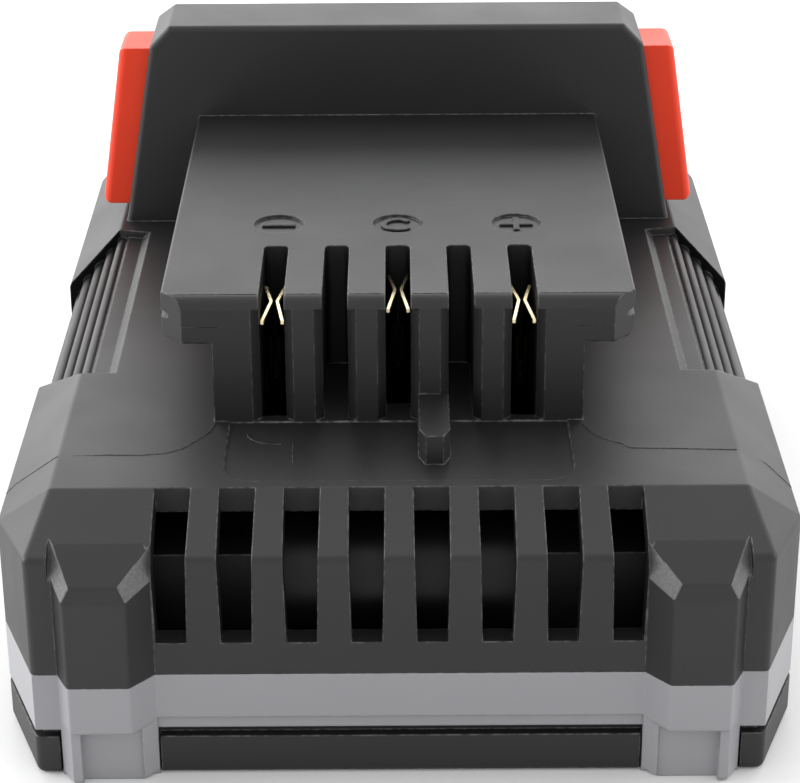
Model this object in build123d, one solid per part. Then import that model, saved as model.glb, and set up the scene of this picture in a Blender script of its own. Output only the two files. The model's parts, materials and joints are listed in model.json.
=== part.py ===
from build123d import *

import math
import os

# Slide-on battery pack of a cordless tool: five round cells lie across it in one layer.
# Millimetres, +X to the right, +Y away from the grille, +Z up, origin in the middle of the base.

# Overall size
pack_length = 115.0
pack_width = 77.0
pack_height = 50.5

# Levels, from the base up
tray_height = 4.2
shadow_gap = 0.8
frame_height = 6.0
side_slope_rise = 4.5
channel_height = 8.5
plate_thickness = 4.7

# Outline and slopes of the body
bumper_stand = 2.5
front_corner_width = 3.9
front_corner_length = 10.3
rear_corner_width = 4.5
rear_corner_length = 8.0
side_slope_run = 5.5
front_slope_run = 8.2
front_slope_rise = 3.3
rear_slope_run = 4.5
rear_slope_rise = 3.0
body_round = 0.8

# Walls and gaps
housing_wall = 2.4
slope_wall = 3.2
hood_wall = 2.0
block_wall = 2.0
frame_wall = 2.0
shadow_depth = 1.0
rim_wall = 1.2
rim_height = 4.5
tray_floor = 1.8
fit_gap = 0.2
slide_gap = 0.3
seat_gap = 0.1
overrun = 5.0

# Front bumpers, which cover the screw posts
bumper_side_setback = 7.5
bumper_width = 5.8
bumper_inner_flare = 2.2
bumper_outer_flare = 1.2
bumper_depth = 5.5
bumper_side_chamfer_width = 0.9
bumper_side_chamfer_height = 1.2
bumper_outer_chamfer_back_height = 1.3
bumper_inner_chamfer_back_height = 1.7
bumper_outer_chamfer_spread = 0.3
bumper_roof_setback = 1.9
bumper_roof_drop = 0.95
bumper_roof_taper = 0.3
bumper_roof_inner_spread = 0.4
bumper_roof_inner_taper = 0.7
bumper_front_chamfer_depth = 0.4
bumper_front_chamfer_height = 1.4
bumper_round = 0.45
bumper_skirt = 5.2
leg_setback = 0.5
leg_depth = 2.6
leg_panel_depth = 1.1
leg_inner_strip_width = 1.4
leg_outer_strip_width = 0.9
leg_round = 0.6

# Grille in the front slope
grille_pitch = 6.1
grille_top_width = 3.4
grille_foot_width = 2.85
grille_sill = 3.4
band_step_height = 1.3
band_step_depth = 0.35

# Rail plate and terminal block
plate_half_width = 23.3
deck_front_length = 22.5
plate_front_round = 1.2
plate_corner_chamfer = 2.1
plate_edge_round = 0.3
rail_groove_height = 0.8
rail_groove_depth = 0.7
rail_groove_level = 1.9
rail_foot_chamfer = 0.5
block_half_width = 18.3
slot_count = 5
slot_pitch = 6.2
slot_width = 2.5
slot_length = 14.0
slot_mouth_flare = 0.8
plate_skin = 2.2
mark_diameter = 5.2
mark_depth = 0.3
mark_setback = 20.2
deck_panel_half_width = 16.8
deck_panel_length = 13.0
deck_panel_depth = 0.15
deck_panel_round = 3.0

# Key rib in front of the terminal block
key_width = 3.0
key_centre = 3.45
key_height = 2.9
key_length = 9.5
key_nose_width = 1.7
key_nose_length = 1.6

# Finger grips in the side slopes
grip_margin = 3.7
grip_bevel = 0.9
grip_floor_width = 1.7
grip_slope_run = 5.8
grip_slope_drop = 5.0
grip_inset = 0.8
grip_foot = 2.4
grip_front_setback = 11.8
grip_rear_setback = 2.7
grip_end_slant = 6.2
grip_ribs = 4
grip_rib_radius = 0.62
grip_rib_margin_share = 0.13

# Hood over the release buttons and the charge indicator
hood_length = 34.5
hood_side_setback = 6.1
hood_side_lean = 3.7
hood_shoulder_drop = 2.4
hood_shoulder_run = 2.3
hood_top_length = 9.7
hood_back_setback = 2.5
hood_back_run = 1.5
hood_back_height = 9.0
hood_round = 0.6

# Release buttons with their latch arms
button_setback = 1.5
button_foot_level = 1.8
button_foot_stand = 2.9
button_side_lean = 2.9
button_top_drop = 3.0
button_length = 19.5
button_top_length = 7.0
button_back_height = 9.7
button_lip = 1.2
button_lip_reach = 1.0
button_round = 0.9
release_travel = 2.8
arm_thickness = 2.0
arm_height = 5.0
arm_level = 2.5
arm_bar_length = 3.5
arm_bar_setback = 3.0
arm_wall_gap = 0.5
arm_reach = 14.0
latch_reach = 2.5
latch_length = 5.0
latch_height = 4.0
latch_ramp = 3.0

# Release springs and the post between them
post_half_width = 5.2
post_length = 6.0
post_setback = 2.0
spring_radius = 2.2
spring_wire = 0.6
spring_turns = 5
spigot_radius = 1.4
spigot_length = 1.4

# Cells, 18650 size in this pack: the room between the end walls sets their diameter and length
cell_count = 5
cells_front_margin = 11.2
cells_rear_margin = 8.8
cell_end_room = 5.9
cell_gap = 0.6
cell_cap_gap = 0.5
cell_cap_height = 0.6
cell_round = 1.0
cell_base_gap = 0.5
washer_thickness = 0.3
washer_inset = 1.0
washer_width = 3.2

# Cell holders, strips and end sheets
holder_wall = 1.0
holder_depth = 20.0
holder_end_wall = 1.35
holder_cut_back = 1.3
holder_foot_gap = 0.2
holder_corner_width = 2.2
holder_corner_length = 3.2
cell_fit = 0.1
window_diameter = 13.0
strip_thickness = 0.3
strip_width = 8.0
strip_pad_diameter = 8.0
ear_width = 5.0
ear_reach = 10.0
end_sheet_thickness = 0.3
end_sheet_margin = 2.0

# Main circuit board
board_thickness = 1.6
board_side_gap = 6.6
board_front_gap = 1.5
board_rear_gap = 3.0
board_boss_radius = 1.9
board_boss_shift = 0.8
board_screw_radius = 0.9
board_screw_length = 4.5
board_screw_head_radius = 1.7
board_screw_head_height = 1.0
chip_height = 1.0
chip_clearance = 0.3
chip_widths = (9.0, 5.0, 5.0)
chip_lengths = (9.0, 6.0, 6.0)
chip_x_shares = (-0.35, 0.25, 0.55)
chip_y_shares = (0.55, 0.6, 0.6)
thermistor_radius = 1.2
thermistor_length = 3.0
thermistor_gap = 0.3
thermistor_lead_radius = 0.25
thermistor_lead_spacing = 1.4

# Spring contacts
contact_thickness = 0.3
contact_waist_gap = 0.3
contact_flare = 0.7
contact_front_length = 5.0
contact_rear_length = 3.9
contact_base_height = 0.8
contact_drop = 3.0
contact_tip_height = 0.4
contact_shoulder_drop = 3.2
contact_stem_front = 0.8
contact_setback = 6.6
control_contact_setback = 9.4

# Charge indicator on the back slope of the hood
window_end_margin = 4.0
window_button_gap = 7.5
window_height = 6.5
window_thickness = 1.0
window_ledge = 1.2
window_corner = 1.2
light_corner = 0.4
indicator_y_share = 0.5
led_count = 4
led_end_share = 0.8
led_size = 2.0
led_height = 0.8
led_board_side_gap = 3.4
led_board_height = 10.0
led_board_thickness = 1.2
led_board_depth = 5.5
led_post_radius = 1.6
led_post_margin = 2.6
charge_button_radius = 3.6
charge_button_end_gap = 10.5
charge_button_stand = 0.6
charge_button_rim = 0.8
charge_button_rim_thickness = 0.8
charge_button_stem_radius = 1.4
charge_button_travel = 0.5
charge_button_clearance = 0.05
switch_size = 4.5
switch_height = 1.6
ribbon_width = 6.0
ribbon_thickness = 0.6
ribbon_tail = 2.0

# Housing screws
screw_side_setback = 8.5
front_screw_setback = 4.1
rear_screw_setback = 4.5
screw_head_radius = 2.4
screw_head_height = 2.0
screw_radius = 1.4
screw_length = 16.0
screw_clearance = 0.05
screw_recess = 1.0
screw_bore_gap = 0.3
drive_radius = 1.1
drive_depth = 1.0
post_radius = 2.75
tray_post_radius = 3.4
post_joint_level = 9.5

# Places along and across the pack that follow from the sizes above
sides = (-1, 1)
half_width = pack_width / 2
rear_y = pack_length / 2
bumper_front_y = -pack_length / 2
front_y = bumper_front_y + bumper_stand
hood_front_y = rear_y - hood_length
plate_front_y = front_y + deck_front_length
block_front_y = plate_front_y
slot_rear_y = plate_front_y + slot_length
mark_y = plate_front_y + mark_setback
block_inside = block_half_width - block_wall
deck_half_width = half_width - side_slope_run
grip_inner = deck_half_width - grip_margin
bumper_outer = half_width - bumper_side_setback
bumper_inner = bumper_outer - bumper_width
grille_slots = int(2 * bumper_inner / grille_pitch)
hood_foot_half_width = half_width - hood_side_setback
hood_shoulder_half_width = hood_foot_half_width - hood_side_lean
hood_top_half_width = hood_shoulder_half_width - hood_shoulder_run
button_foot_half_width = hood_foot_half_width + button_foot_stand
button_top_half_width = button_foot_half_width - button_side_lean
screw_places = [
    (side * (half_width - screw_side_setback), y)
    for side in sides
    for y in (front_y + front_screw_setback, rear_y - rear_screw_setback)
]

# Cells, holders and boards
cell_pitch = (pack_length - cells_front_margin - cells_rear_margin) / cell_count
cell_diameter = cell_pitch - cell_gap
cell_radius = cell_diameter / 2
cell_end = half_width - cell_end_room
cell_length = 2 * cell_end
cell_z = tray_floor + cell_base_gap + cell_radius
first_cell_y = bumper_front_y + cells_front_margin + cell_pitch / 2
cell_ys = [first_cell_y + index * cell_pitch for index in range(cell_count)]
cells_middle_y = first_cell_y + cell_pitch * (cell_count - 1) / 2
washer_outer = cell_diameter - 2 * washer_inset
washer_inner = washer_outer - 2 * washer_width
cell_cap_diameter = washer_inner - 2 * cell_cap_gap
holder_half_length = cell_pitch * (cell_count - 1) / 2 + cell_radius + holder_wall
holder_front_y = cells_middle_y - holder_half_length
holder_rear_y = cells_middle_y + holder_half_length
holder_outer = cell_end + seat_gap / 2 + holder_end_wall
holder_bottom = tray_floor + holder_foot_gap
holder_top = cell_z + cell_radius + holder_foot_gap
ear_top = holder_top + strip_thickness
board_bottom = ear_top
board_top = board_bottom + board_thickness
board_half_width = cell_end - board_side_gap
board_front_y = plate_front_y - board_front_gap
board_rear_y = hood_front_y - board_rear_gap
outer_slot_x = slot_pitch * (slot_count - 1) / 2
board_boss_x = (outer_slot_x + board_half_width) / 2 + board_boss_shift
led_board_width = 2 * (hood_top_half_width - led_board_side_gap)
charge_button_x = led_board_width / 2 - charge_button_end_gap
window_left = window_end_margin - led_board_width / 2
window_right = charge_button_x - window_button_gap
window_width = window_right - window_left
window_x = (window_left + window_right) / 2
led_pitch = window_width / (led_count + led_end_share)

# Levels
frame_bottom = tray_height + shadow_gap
frame_top = frame_bottom + frame_height
deck_top = board_top + chip_height + chip_clearance + housing_wall
plate_bottom = deck_top + channel_height
plate_top = plate_bottom + plate_thickness
block_inside_top = plate_top - plate_skin
shoulder_z = pack_height - hood_shoulder_drop
hood_top_rear_y = hood_front_y + hood_top_length
hood_back_foot_y = rear_y - hood_back_setback
hood_back_top_y = hood_back_foot_y - hood_back_run
hood_back_top_z = deck_top + hood_back_height
hood_slope_drop = pack_height - hood_back_top_z
hood_slope_run = hood_back_top_y - hood_top_rear_y


def block(x_range, y_range, z_range):
    """Box between three pairs of limits."""
    ranges = (x_range, y_range, z_range)
    centre = [(low + high) / 2 for low, high in ranges]
    size = [high - low for low, high in ranges]
    return Pos(*centre) * Box(*size)


def rod(centre, radius, z_range):
    """Upright cylinder between two levels."""
    low, high = z_range
    return Pos(centre[0], centre[1], (low + high) / 2) * Cylinder(radius, high - low)


def prism(points, direction):
    """Straight prism on a flat outline of points in space."""
    return Solid.extrude(Face(Wire.make_polygon([Vector(*point) for point in points])), Vector(*direction))


def mirrored(x_range, side):
    """Limits along X on the chosen side of the pack."""
    return tuple(sorted(side * value for value in x_range))


def trim(solid, corner, outward, inset=0):
    """Cuts off what lies beyond the plane through a corner that faces outward."""
    normal = Vector(*outward).normalized()
    origin = Vector(*corner) - normal * inset
    return split(solid, bisect_by=Plane(origin=origin, z_dir=normal), keep=Keep.BOTTOM)


def trim_through(solid, corners, inside):
    """Cuts off what lies on the far side of the plane through three corners."""
    first, second, third = [Vector(*corner) for corner in corners]
    normal = (second - first).cross(third - first)
    if normal.dot(Vector(*inside) - first) > 0:
        normal = normal * -1
    return trim(solid, first, normal)


def outline(inset=0):
    """Outline of the body seen from above, moved in by inset."""
    points = [
        (half_width - front_corner_width, front_y),
        (half_width, front_y + front_corner_length),
        (half_width, rear_y - rear_corner_length),
        (half_width - rear_corner_width, rear_y),
    ]
    points += [(-x, y) for x, y in reversed(points)]
    face = make_face(Polyline(*points, close=True))
    if inset:
        face = offset(face, amount=-inset, kind=Kind.INTERSECTION)
    return face


def slab(inset, low, high):
    """Upright prism on the body's outline."""
    return Pos(0, 0, low) * extrude(outline(inset), amount=high - low)


def body_form(inset, slope_inset, low):
    """Sloped upper body from a level up, with its walls and side slopes moved in."""
    form = slab(inset, low, deck_top - inset)
    for side in sides:
        corner = (side * deck_half_width, 0, deck_top)
        form = trim(form, corner, (side * side_slope_rise, 0, side_slope_run), slope_inset)
    corner = (0, front_y + front_slope_run, deck_top)
    form = trim(form, corner, (0, -front_slope_rise, front_slope_run), inset)
    corner = (0, rear_y - rear_slope_run, deck_top)
    return trim(form, corner, (0, rear_slope_rise, rear_slope_run), inset)


def front_slope_z(y):
    """Level of the front slope, and of the bumpers that carry it on."""
    return deck_top - (front_y + front_slope_run - y) * front_slope_rise / front_slope_run


def bumper_roof_z(y):
    """Level of a bumper's roof, which falls faster than the front slope."""
    start_y = front_y + bumper_roof_setback
    return front_slope_z(y) - bumper_roof_drop * (start_y - y) / (start_y - bumper_front_y)


def front_corner_facet(side):
    """Corners of the facet between the front slope, a side slope and the corner below them."""
    return (
        (side * deck_half_width, front_y + front_slope_run, deck_top),
        (side * (half_width - front_corner_width), front_y, front_slope_z(front_y)),
        (side * half_width, front_y + front_corner_length, deck_top - side_slope_rise),
    )


def hood_side_x(z):
    """Half width of the hood at a level."""
    lean = (hood_foot_half_width - hood_shoulder_half_width) / (shoulder_z - deck_top)
    return hood_foot_half_width - (z - deck_top) * lean


def hood_form(inset, low):
    """Hood, or the room inside it where inset is the wall."""
    y_start = hood_front_y + inset
    section = [
        (hood_side_x(low), low),
        (hood_shoulder_half_width, shoulder_z),
        (hood_top_half_width, pack_height),
    ]
    section += [(-x, z) for x, z in reversed(section)]
    points = [(x, y_start, z) for x, z in section]
    form = prism(points, (0, rear_y - y_start, 0))
    for side in sides:
        lean_drop = hood_foot_half_width - hood_shoulder_half_width
        foot = (side * hood_foot_half_width, 0, deck_top)
        form = trim(form, foot, (side * (shoulder_z - deck_top), 0, lean_drop), inset)
        shoulder = (side * hood_shoulder_half_width, 0, shoulder_z)
        shoulder_run = hood_shoulder_half_width - hood_top_half_width
        form = trim(form, shoulder, (side * hood_shoulder_drop, 0, shoulder_run), inset)
    form = trim(form, (0, 0, pack_height), (0, 0, 1), inset)
    form = trim(form, (0, hood_top_rear_y, pack_height), (0, hood_slope_drop, hood_slope_run), inset)
    return trim(form, (0, hood_back_foot_y, deck_top), (0, hood_back_height, hood_back_run), inset)


def bumper_outline(side, setback, low):
    """Outline of one bumper seen from above, at a level, with its front face set back."""
    inner_back = bumper_inner - bumper_inner_flare
    outer_back = bumper_outer + bumper_outer_flare
    points = [
        (bumper_inner, bumper_front_y + setback),
        (bumper_outer, bumper_front_y + setback),
        (outer_back, front_y),
        (outer_back, bumper_front_y + bumper_depth),
        (inner_back, bumper_front_y + bumper_depth),
        (inner_back, front_y),
    ]
    return [(side * x, y, low) for x, y in points]


def bumper_roof_plane(way):
    """Point on the plane of a bumper's roof, and its direction up or down."""
    roof_y = front_y + bumper_roof_setback
    rise = front_slope_z(roof_y) - bumper_roof_z(bumper_front_y)
    return (0, roof_y, front_slope_z(roof_y)), (0, -way * rise, way * (roof_y - bumper_front_y))


def bumper_roof_cut(side):
    """What the front slope loses to a bumper's steeper roof."""
    roof_y = front_y + bumper_roof_setback
    inner = bumper_inner - bumper_inner_flare
    outer = bumper_outer + bumper_outer_flare
    plan = [
        (inner - bumper_roof_inner_spread, front_y - overrun),
        (inner - bumper_roof_inner_spread, front_y),
        (inner + bumper_roof_inner_taper, roof_y),
        (outer - bumper_roof_taper, roof_y),
        (outer, front_y),
        (outer, front_y - overrun),
    ]
    cut = prism([(side * x, y, frame_top) for x, y in plan], (0, 0, deck_top - frame_top))
    return trim(cut, *bumper_roof_plane(-1))


def bumper_chamfers(side):
    """Corners of the two chamfers along a bumper's roof: the outer one, then the inner one."""
    outer_back = bumper_outer + bumper_outer_flare
    inner_back = bumper_inner - bumper_inner_flare
    edges = (
        (bumper_outer, outer_back, -bumper_side_chamfer_width, bumper_outer_chamfer_back_height),
        (bumper_inner, inner_back, bumper_side_chamfer_width, bumper_inner_chamfer_back_height),
    )
    top_front = bumper_roof_z(bumper_front_y)
    return [
        (
            (side * x_front, bumper_front_y, top_front - bumper_side_chamfer_height),
            (side * x_back, front_y, bumper_roof_z(front_y) - back_height),
            (side * (x_front + step), bumper_front_y, top_front),
        )
        for x_front, x_back, step, back_height in edges
    ]


def bumper_chamfer_cuts(side):
    """What the front slope loses to the chamfers, which run on into it."""
    outer_back = bumper_outer + bumper_outer_flare + bumper_outer_chamfer_spread
    span = (bumper_inner - bumper_inner_flare, outer_back)
    above = (side * (bumper_inner + bumper_outer) / 2, front_y, deck_top + overrun)
    over = block(mirrored(span, side), (front_y, bumper_front_y + bumper_depth), (frame_top, deck_top))
    return [trim_through(over, corners, above) for corners in bumper_chamfers(side)]


def bumper_cap(side):
    """Upper part of a bumper, with its sloped roof and its three chamfers."""
    form = prism(bumper_outline(side, 0, frame_top), (0, 0, deck_top - frame_top))
    corner = (0, front_y + front_slope_run, deck_top)
    form = trim(form, corner, (0, -front_slope_rise, front_slope_run))
    form = trim(form, *bumper_roof_plane(1))
    inside = (side * (bumper_inner + bumper_outer) / 2, bumper_front_y + bumper_depth / 2, frame_top)
    for corners in bumper_chamfers(side):
        form = trim_through(form, corners, inside)
    top_front = bumper_roof_z(bumper_front_y)
    back_y = bumper_front_y + bumper_front_chamfer_depth
    corners = (
        (bumper_inner, bumper_front_y, top_front - bumper_front_chamfer_height),
        (bumper_outer, bumper_front_y, top_front - bumper_front_chamfer_height),
        (bumper_outer, back_y, bumper_roof_z(back_y)),
    )
    form = trim_through(form, corners, inside)
    front_edges = form.edges().filter_by(lambda edge: edge.center().Y < front_y - seat_gap)
    kept = front_edges.filter_by(lambda edge: edge.center().Z > frame_top + seat_gap)
    return fillet(kept, bumper_round)


def grille_cuts():
    """Slots through the front slope and the front face, a little narrower at the foot."""
    low = frame_top + grille_sill
    high = deck_top + overrun
    widening = (grille_top_width - grille_foot_width) / (deck_top - low)
    top_width = grille_top_width + widening * overrun
    cuts = []
    for index in range(grille_slots):
        x = (index - (grille_slots - 1) / 2) * grille_pitch
        points = [
            (x - grille_foot_width / 2, front_y - overrun, low),
            (x + grille_foot_width / 2, front_y - overrun, low),
            (x + top_width / 2, front_y - overrun, high),
            (x - top_width / 2, front_y - overrun, high),
        ]
        cuts.append(prism(points, (0, overrun + front_slope_run, 0)))
    return cuts


def grip_cut(side):
    """Finger recess in one side slope, with its long ribs left standing."""
    floor_x = grip_inner + grip_bevel
    floor_z = deck_top - grip_bevel
    slope_x = floor_x + grip_floor_width
    low_x = slope_x + grip_slope_run
    low_z = floor_z - grip_slope_drop
    foot_z = frame_top + grip_foot
    front = plate_front_y + grip_front_setback
    rear = hood_front_y - grip_rear_setback
    length = rear - front
    edge = half_width + grip_bevel
    out = half_width + overrun
    high = deck_top + overrun
    section = [
        (grip_inner - overrun, high),
        (grip_inner - overrun, deck_top + overrun / 2),
        (grip_inner, deck_top),
        (floor_x, floor_z),
        (slope_x, floor_z),
        (low_x, low_z),
        (half_width - grip_inset, foot_z),
        (out, foot_z),
        (out, high),
    ]
    recess = prism([(side * x, front - overrun, z) for x, z in section], (0, length + 2 * overrun, 0))
    slant = grip_end_slant * (edge - deck_half_width) / side_slope_run
    plan = [
        (grip_inner, front),
        (deck_half_width, front),
        (edge, front + slant),
        (edge, rear - slant),
        (deck_half_width, rear),
        (grip_inner, rear - grip_bevel),
    ]
    area = prism([(side * x, y, foot_z) for x, y in plan], (0, 0, high - foot_z))
    cutter = recess & area
    for index in range(grip_ribs):
        share = grip_rib_margin_share + index * (1 - grip_rib_margin_share) / grip_ribs
        x = slope_x + share * grip_slope_run
        z = floor_z - share * grip_slope_drop
        middle = Location((side * x, (front + rear) / 2, z), (90, 0, 0))
        cutter -= middle * Cylinder(grip_rib_radius, length + overrun)
    return cutter


def rail_plate():
    """Plate over the terminal block: its edges are the rails that the tool grips."""
    groove_low = plate_top - rail_groove_level - rail_groove_height
    section = [
        (plate_half_width - rail_foot_chamfer, plate_bottom),
        (plate_half_width, plate_bottom + rail_foot_chamfer),
        (plate_half_width, groove_low),
        (plate_half_width - rail_groove_depth, groove_low + rail_groove_height / 4),
        (plate_half_width - rail_groove_depth, groove_low + rail_groove_height * 3 / 4),
        (plate_half_width, groove_low + rail_groove_height),
        (plate_half_width, plate_top),
    ]
    section += [(-x, z) for x, z in reversed(section)]
    points = [(x, plate_front_y, z) for x, z in section]
    plate = prism(points, (0, hood_front_y - plate_front_y + hood_wall / 2, 0))
    top_front = plate.edges().filter_by(Axis.X).filter_by(
        lambda edge: edge.center().Z > plate_top - seat_gap and edge.center().Y < plate_front_y + seat_gap
    )
    plate = fillet(top_front, plate_front_round)
    for side in sides:
        corner = (side * plate_half_width, plate_front_y + plate_corner_chamfer, plate_bottom)
        plate = trim(plate, corner, (side, -1, 0))
    long_edges = plate.edges().filter_by(Axis.Y)
    top_edges = long_edges.filter_by(lambda edge: edge.center().Z > plate_top - seat_gap)
    return fillet(top_edges, plate_edge_round)


def slot_xs():
    """Middles of the terminal slots."""
    return [(index - (slot_count - 1) / 2) * slot_pitch for index in range(slot_count)]


def terminal_slots():
    """Slots for the tool's blades, flared at their mouths and round at their far ends."""
    cuts = []
    high = plate_top + overrun
    for x in slot_xs():
        half = slot_width / 2
        cut = block((x - half, x + half), (plate_front_y - overrun, slot_rear_y), (deck_top, high))
        upright = cut.edges().filter_by(Axis.Z)
        far_edges = upright.filter_by(lambda edge: edge.center().Y > slot_rear_y - seat_gap)
        cut = fillet(far_edges, slot_width / 4)
        mouth = [
            (x - half - slot_mouth_flare, block_front_y, deck_top),
            (x + half + slot_mouth_flare, block_front_y, deck_top),
            (x + half, block_front_y + slot_mouth_flare, deck_top),
            (x - half, block_front_y + slot_mouth_flare, deck_top),
        ]
        cut += prism(mouth, (0, 0, plate_top - plate_front_round - deck_top))
        cuts.append(cut)
    return cuts


def key_rib():
    """Rib on the deck that keeps a wrong tool off."""
    rear = block_front_y
    nose = rear - key_length
    low = deck_top - housing_wall / 2
    points = [
        (key_centre - key_width / 2, rear),
        (key_centre + key_width / 2, rear),
        (key_centre + key_width / 2, nose + key_nose_length),
        (key_centre + key_nose_width / 2, nose),
        (key_centre - key_nose_width / 2, nose),
        (key_centre - key_width / 2, nose + key_nose_length),
    ]
    return prism([(x, y, low) for x, y in points], (0, 0, deck_top + key_height - low))


def button_profile(grow):
    """Side view of a release button as (y, z) points, grown by a clearance."""
    front = hood_front_y + button_setback - grow
    foot = deck_top + button_foot_level - grow
    top = pack_height - button_top_drop + grow
    top_rear = hood_front_y + button_setback + button_top_length + grow / 2
    rear = hood_front_y + button_setback + button_length + grow
    return [
        (front, foot),
        (front, top),
        (top_rear, top),
        (rear, deck_top + button_foot_level + button_back_height + grow),
        (rear, foot),
    ]


def arm_outer_x():
    """Outer face of a latch arm, inside the terminal block's wall."""
    return block_inside - arm_wall_gap


def spring_place(side):
    """Point on the axis of a release spring, at the post."""
    y = hood_front_y - post_setback - post_length / 2
    z = deck_top + arm_level + arm_height / 2
    return (side * post_half_width, y, z)


def release_button(side):
    """Push pad at the hood's side, in one piece with its latch arm."""
    foot = deck_top + button_foot_level
    top = pack_height - button_top_drop
    behind_wall = hood_wall + button_lip
    profile = button_profile(0)
    pad = prism([(0, y, z) for y, z in profile], (side * (half_width + overrun), 0, 0))
    lean_in = button_foot_half_width - button_top_half_width
    pad = trim(pad, (side * button_foot_half_width, 0, foot), (side * (top - foot), 0, lean_in))
    inner_lean = hood_side_x(foot) - hood_side_x(top)
    inner_foot = (side * (hood_side_x(foot) - behind_wall), 0, foot)
    pad = trim(pad, inner_foot, (-side * (top - foot), 0, -inner_lean))
    outside = pad.edges().filter_by(
        lambda edge: abs(edge.center().X) > hood_side_x(edge.center().Z) + button_round / 2
    )
    pad = fillet(outside, button_round)
    lip_low = foot - button_lip_reach
    lip_high = foot + button_back_height
    lip_front = profile[0][0] + hood_wall
    lip_rear = profile[-1][0] + button_lip_reach
    lip = [
        (side * (hood_side_x(lip_low) - hood_wall - seat_gap), lip_front, lip_low),
        (side * (hood_side_x(lip_high) - hood_wall - seat_gap), lip_front, lip_high),
        (side * (hood_side_x(lip_high) - behind_wall), lip_front, lip_high),
        (side * (hood_side_x(lip_low) - behind_wall), lip_front, lip_low),
    ]
    button = pad + prism(lip, (0, lip_rear - lip_front, 0))
    arm_out = arm_outer_x()
    arm_in = arm_out - arm_thickness
    bar_y = hood_front_y + arm_bar_setback
    arm_low = deck_top + arm_level
    arm_z = (arm_low, arm_low + arm_height)
    bar_out = hood_side_x(arm_low + arm_height) - behind_wall + button_lip / 2
    button += block(mirrored((arm_in, bar_out), side), (bar_y, bar_y + arm_bar_length), arm_z)
    arm_front = hood_front_y - arm_reach
    button += block(mirrored((arm_in, arm_out), side), (arm_front, bar_y + arm_bar_length), arm_z)
    tip = block_half_width + latch_reach
    latch_low = arm_low + (arm_height - latch_height) / 2
    latch = [
        (side * arm_in, arm_front, latch_low),
        (side * (tip - latch_ramp), arm_front, latch_low),
        (side * tip, arm_front + latch_ramp, latch_low),
        (side * tip, arm_front + latch_length, latch_low),
        (side * arm_in, arm_front + latch_length, latch_low),
    ]
    button += prism(latch, (0, 0, latch_height))
    _, spring_y, spring_z = spring_place(side)
    spigot = Location((side * (arm_in - spigot_length / 2), spring_y, spring_z), (0, 90, 0))
    return button + spigot * Cylinder(spigot_radius, spigot_length)


def release_spring(side):
    """Compression spring between the post and a latch arm."""
    arm_in = arm_outer_x() - arm_thickness
    length = arm_in - post_half_width - spring_wire - seat_gap
    path = Helix(pitch=length / spring_turns, height=length, radius=spring_radius)
    start = path @ 0
    wire = Plane(origin=start, z_dir=path % 0) * Circle(spring_wire / 2)
    coil = sweep(wire, path=path)
    x, y, z = spring_place(side)
    first_x = x + side * (spring_wire + seat_gap) / 2
    return Location((first_x, y, z), (0, side * 90, 0)) * coil


def hood_slope():
    """Frame on the hood's back slope: x to the right, y down the slope, z out of it."""
    y = hood_top_rear_y + hood_slope_run * indicator_y_share
    z = pack_height - hood_slope_drop * indicator_y_share
    return Plane(origin=(0, y, z), x_dir=(1, 0, 0), z_dir=(0, hood_slope_drop, hood_slope_run)).location


def led_post_places():
    """Corner posts of the indicator board, in the slope's own frame."""
    x = led_board_width / 2 - led_post_margin
    y = led_board_height / 2 - led_post_margin
    return [(side * x, end * y) for side in sides for end in sides]


def upper_housing():
    """Black top shell: deck, grille, rails, terminal block, grips and hood in one moulding."""
    outside = body_form(0, 0, frame_top)
    for side in sides:
        outside = trim_through(outside, front_corner_facet(side), (0, 0, frame_top))
    upper_edges = outside.edges().filter_by(lambda edge: edge.center().Z > frame_top + seat_gap)
    shell = fillet(upper_edges, body_round)
    for side in sides:
        shell -= bumper_roof_cut(side)
        for cut in bumper_chamfer_cuts(side):
            shell -= cut
        shell += bumper_cap(side)
    for side in sides:
        shell -= grip_cut(side)
    hood = hood_form(0, deck_top - housing_wall / 2)
    hood_edges = hood.edges().filter_by(lambda edge: edge.center().Z > deck_top)
    shell += fillet(hood_edges, hood_round)
    shell += rail_plate()
    block_rear = hood_front_y + hood_wall / 2
    block_x = (-block_half_width, block_half_width)
    shell += block(block_x, (block_front_y, block_rear), (deck_top - housing_wall / 2, plate_bottom))
    shell += key_rib()

    shell -= body_form(housing_wall, slope_wall, frame_top - overrun)
    shell -= hood_form(hood_wall, deck_top - slope_wall - overrun)
    inside_x = (-block_inside, block_inside)
    inside_y = (slot_rear_y + block_wall, hood_front_y + hood_wall + seat_gap)
    shell -= block(inside_x, inside_y, (deck_top - housing_wall - seat_gap, block_inside_top))
    shell += housing_posts()
    shell += spring_post()
    shell += led_posts()
    for cut in grille_cuts() + terminal_slots() + contact_windows() + latch_windows():
        shell -= cut
    for side in sides:
        mouth = [(0, y, z) for y, z in button_profile(slide_gap)]
        start = hood_side_x(pack_height) - hood_wall - button_lip - release_travel - slide_gap
        opening = prism([(side * start, y, z) for _, y, z in mouth], (side * half_width, 0, 0))
        shell -= opening
    for x in (slot_xs()[0], 0, slot_xs()[-1]):
        shell -= rod((x, mark_y), mark_diameter / 2, (plate_top - mark_depth, plate_top + overrun))
    shell -= deck_panel()
    return shell - indicator_cuts() - housing_screw_holes()


def deck_panel():
    """Very shallow panel in the deck in front of the terminal block, around the key rib."""
    y_range = (block_front_y - deck_panel_length, block_front_y)
    x_range = (-deck_panel_half_width, deck_panel_half_width)
    panel = block(x_range, y_range, (deck_top - deck_panel_depth, deck_top + seat_gap))
    front = panel.edges().filter_by(Axis.Z).filter_by(
        lambda edge: edge.center().Y < block_front_y - deck_panel_length + seat_gap
    )
    return fillet(front, deck_panel_round) - key_rib()


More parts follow.
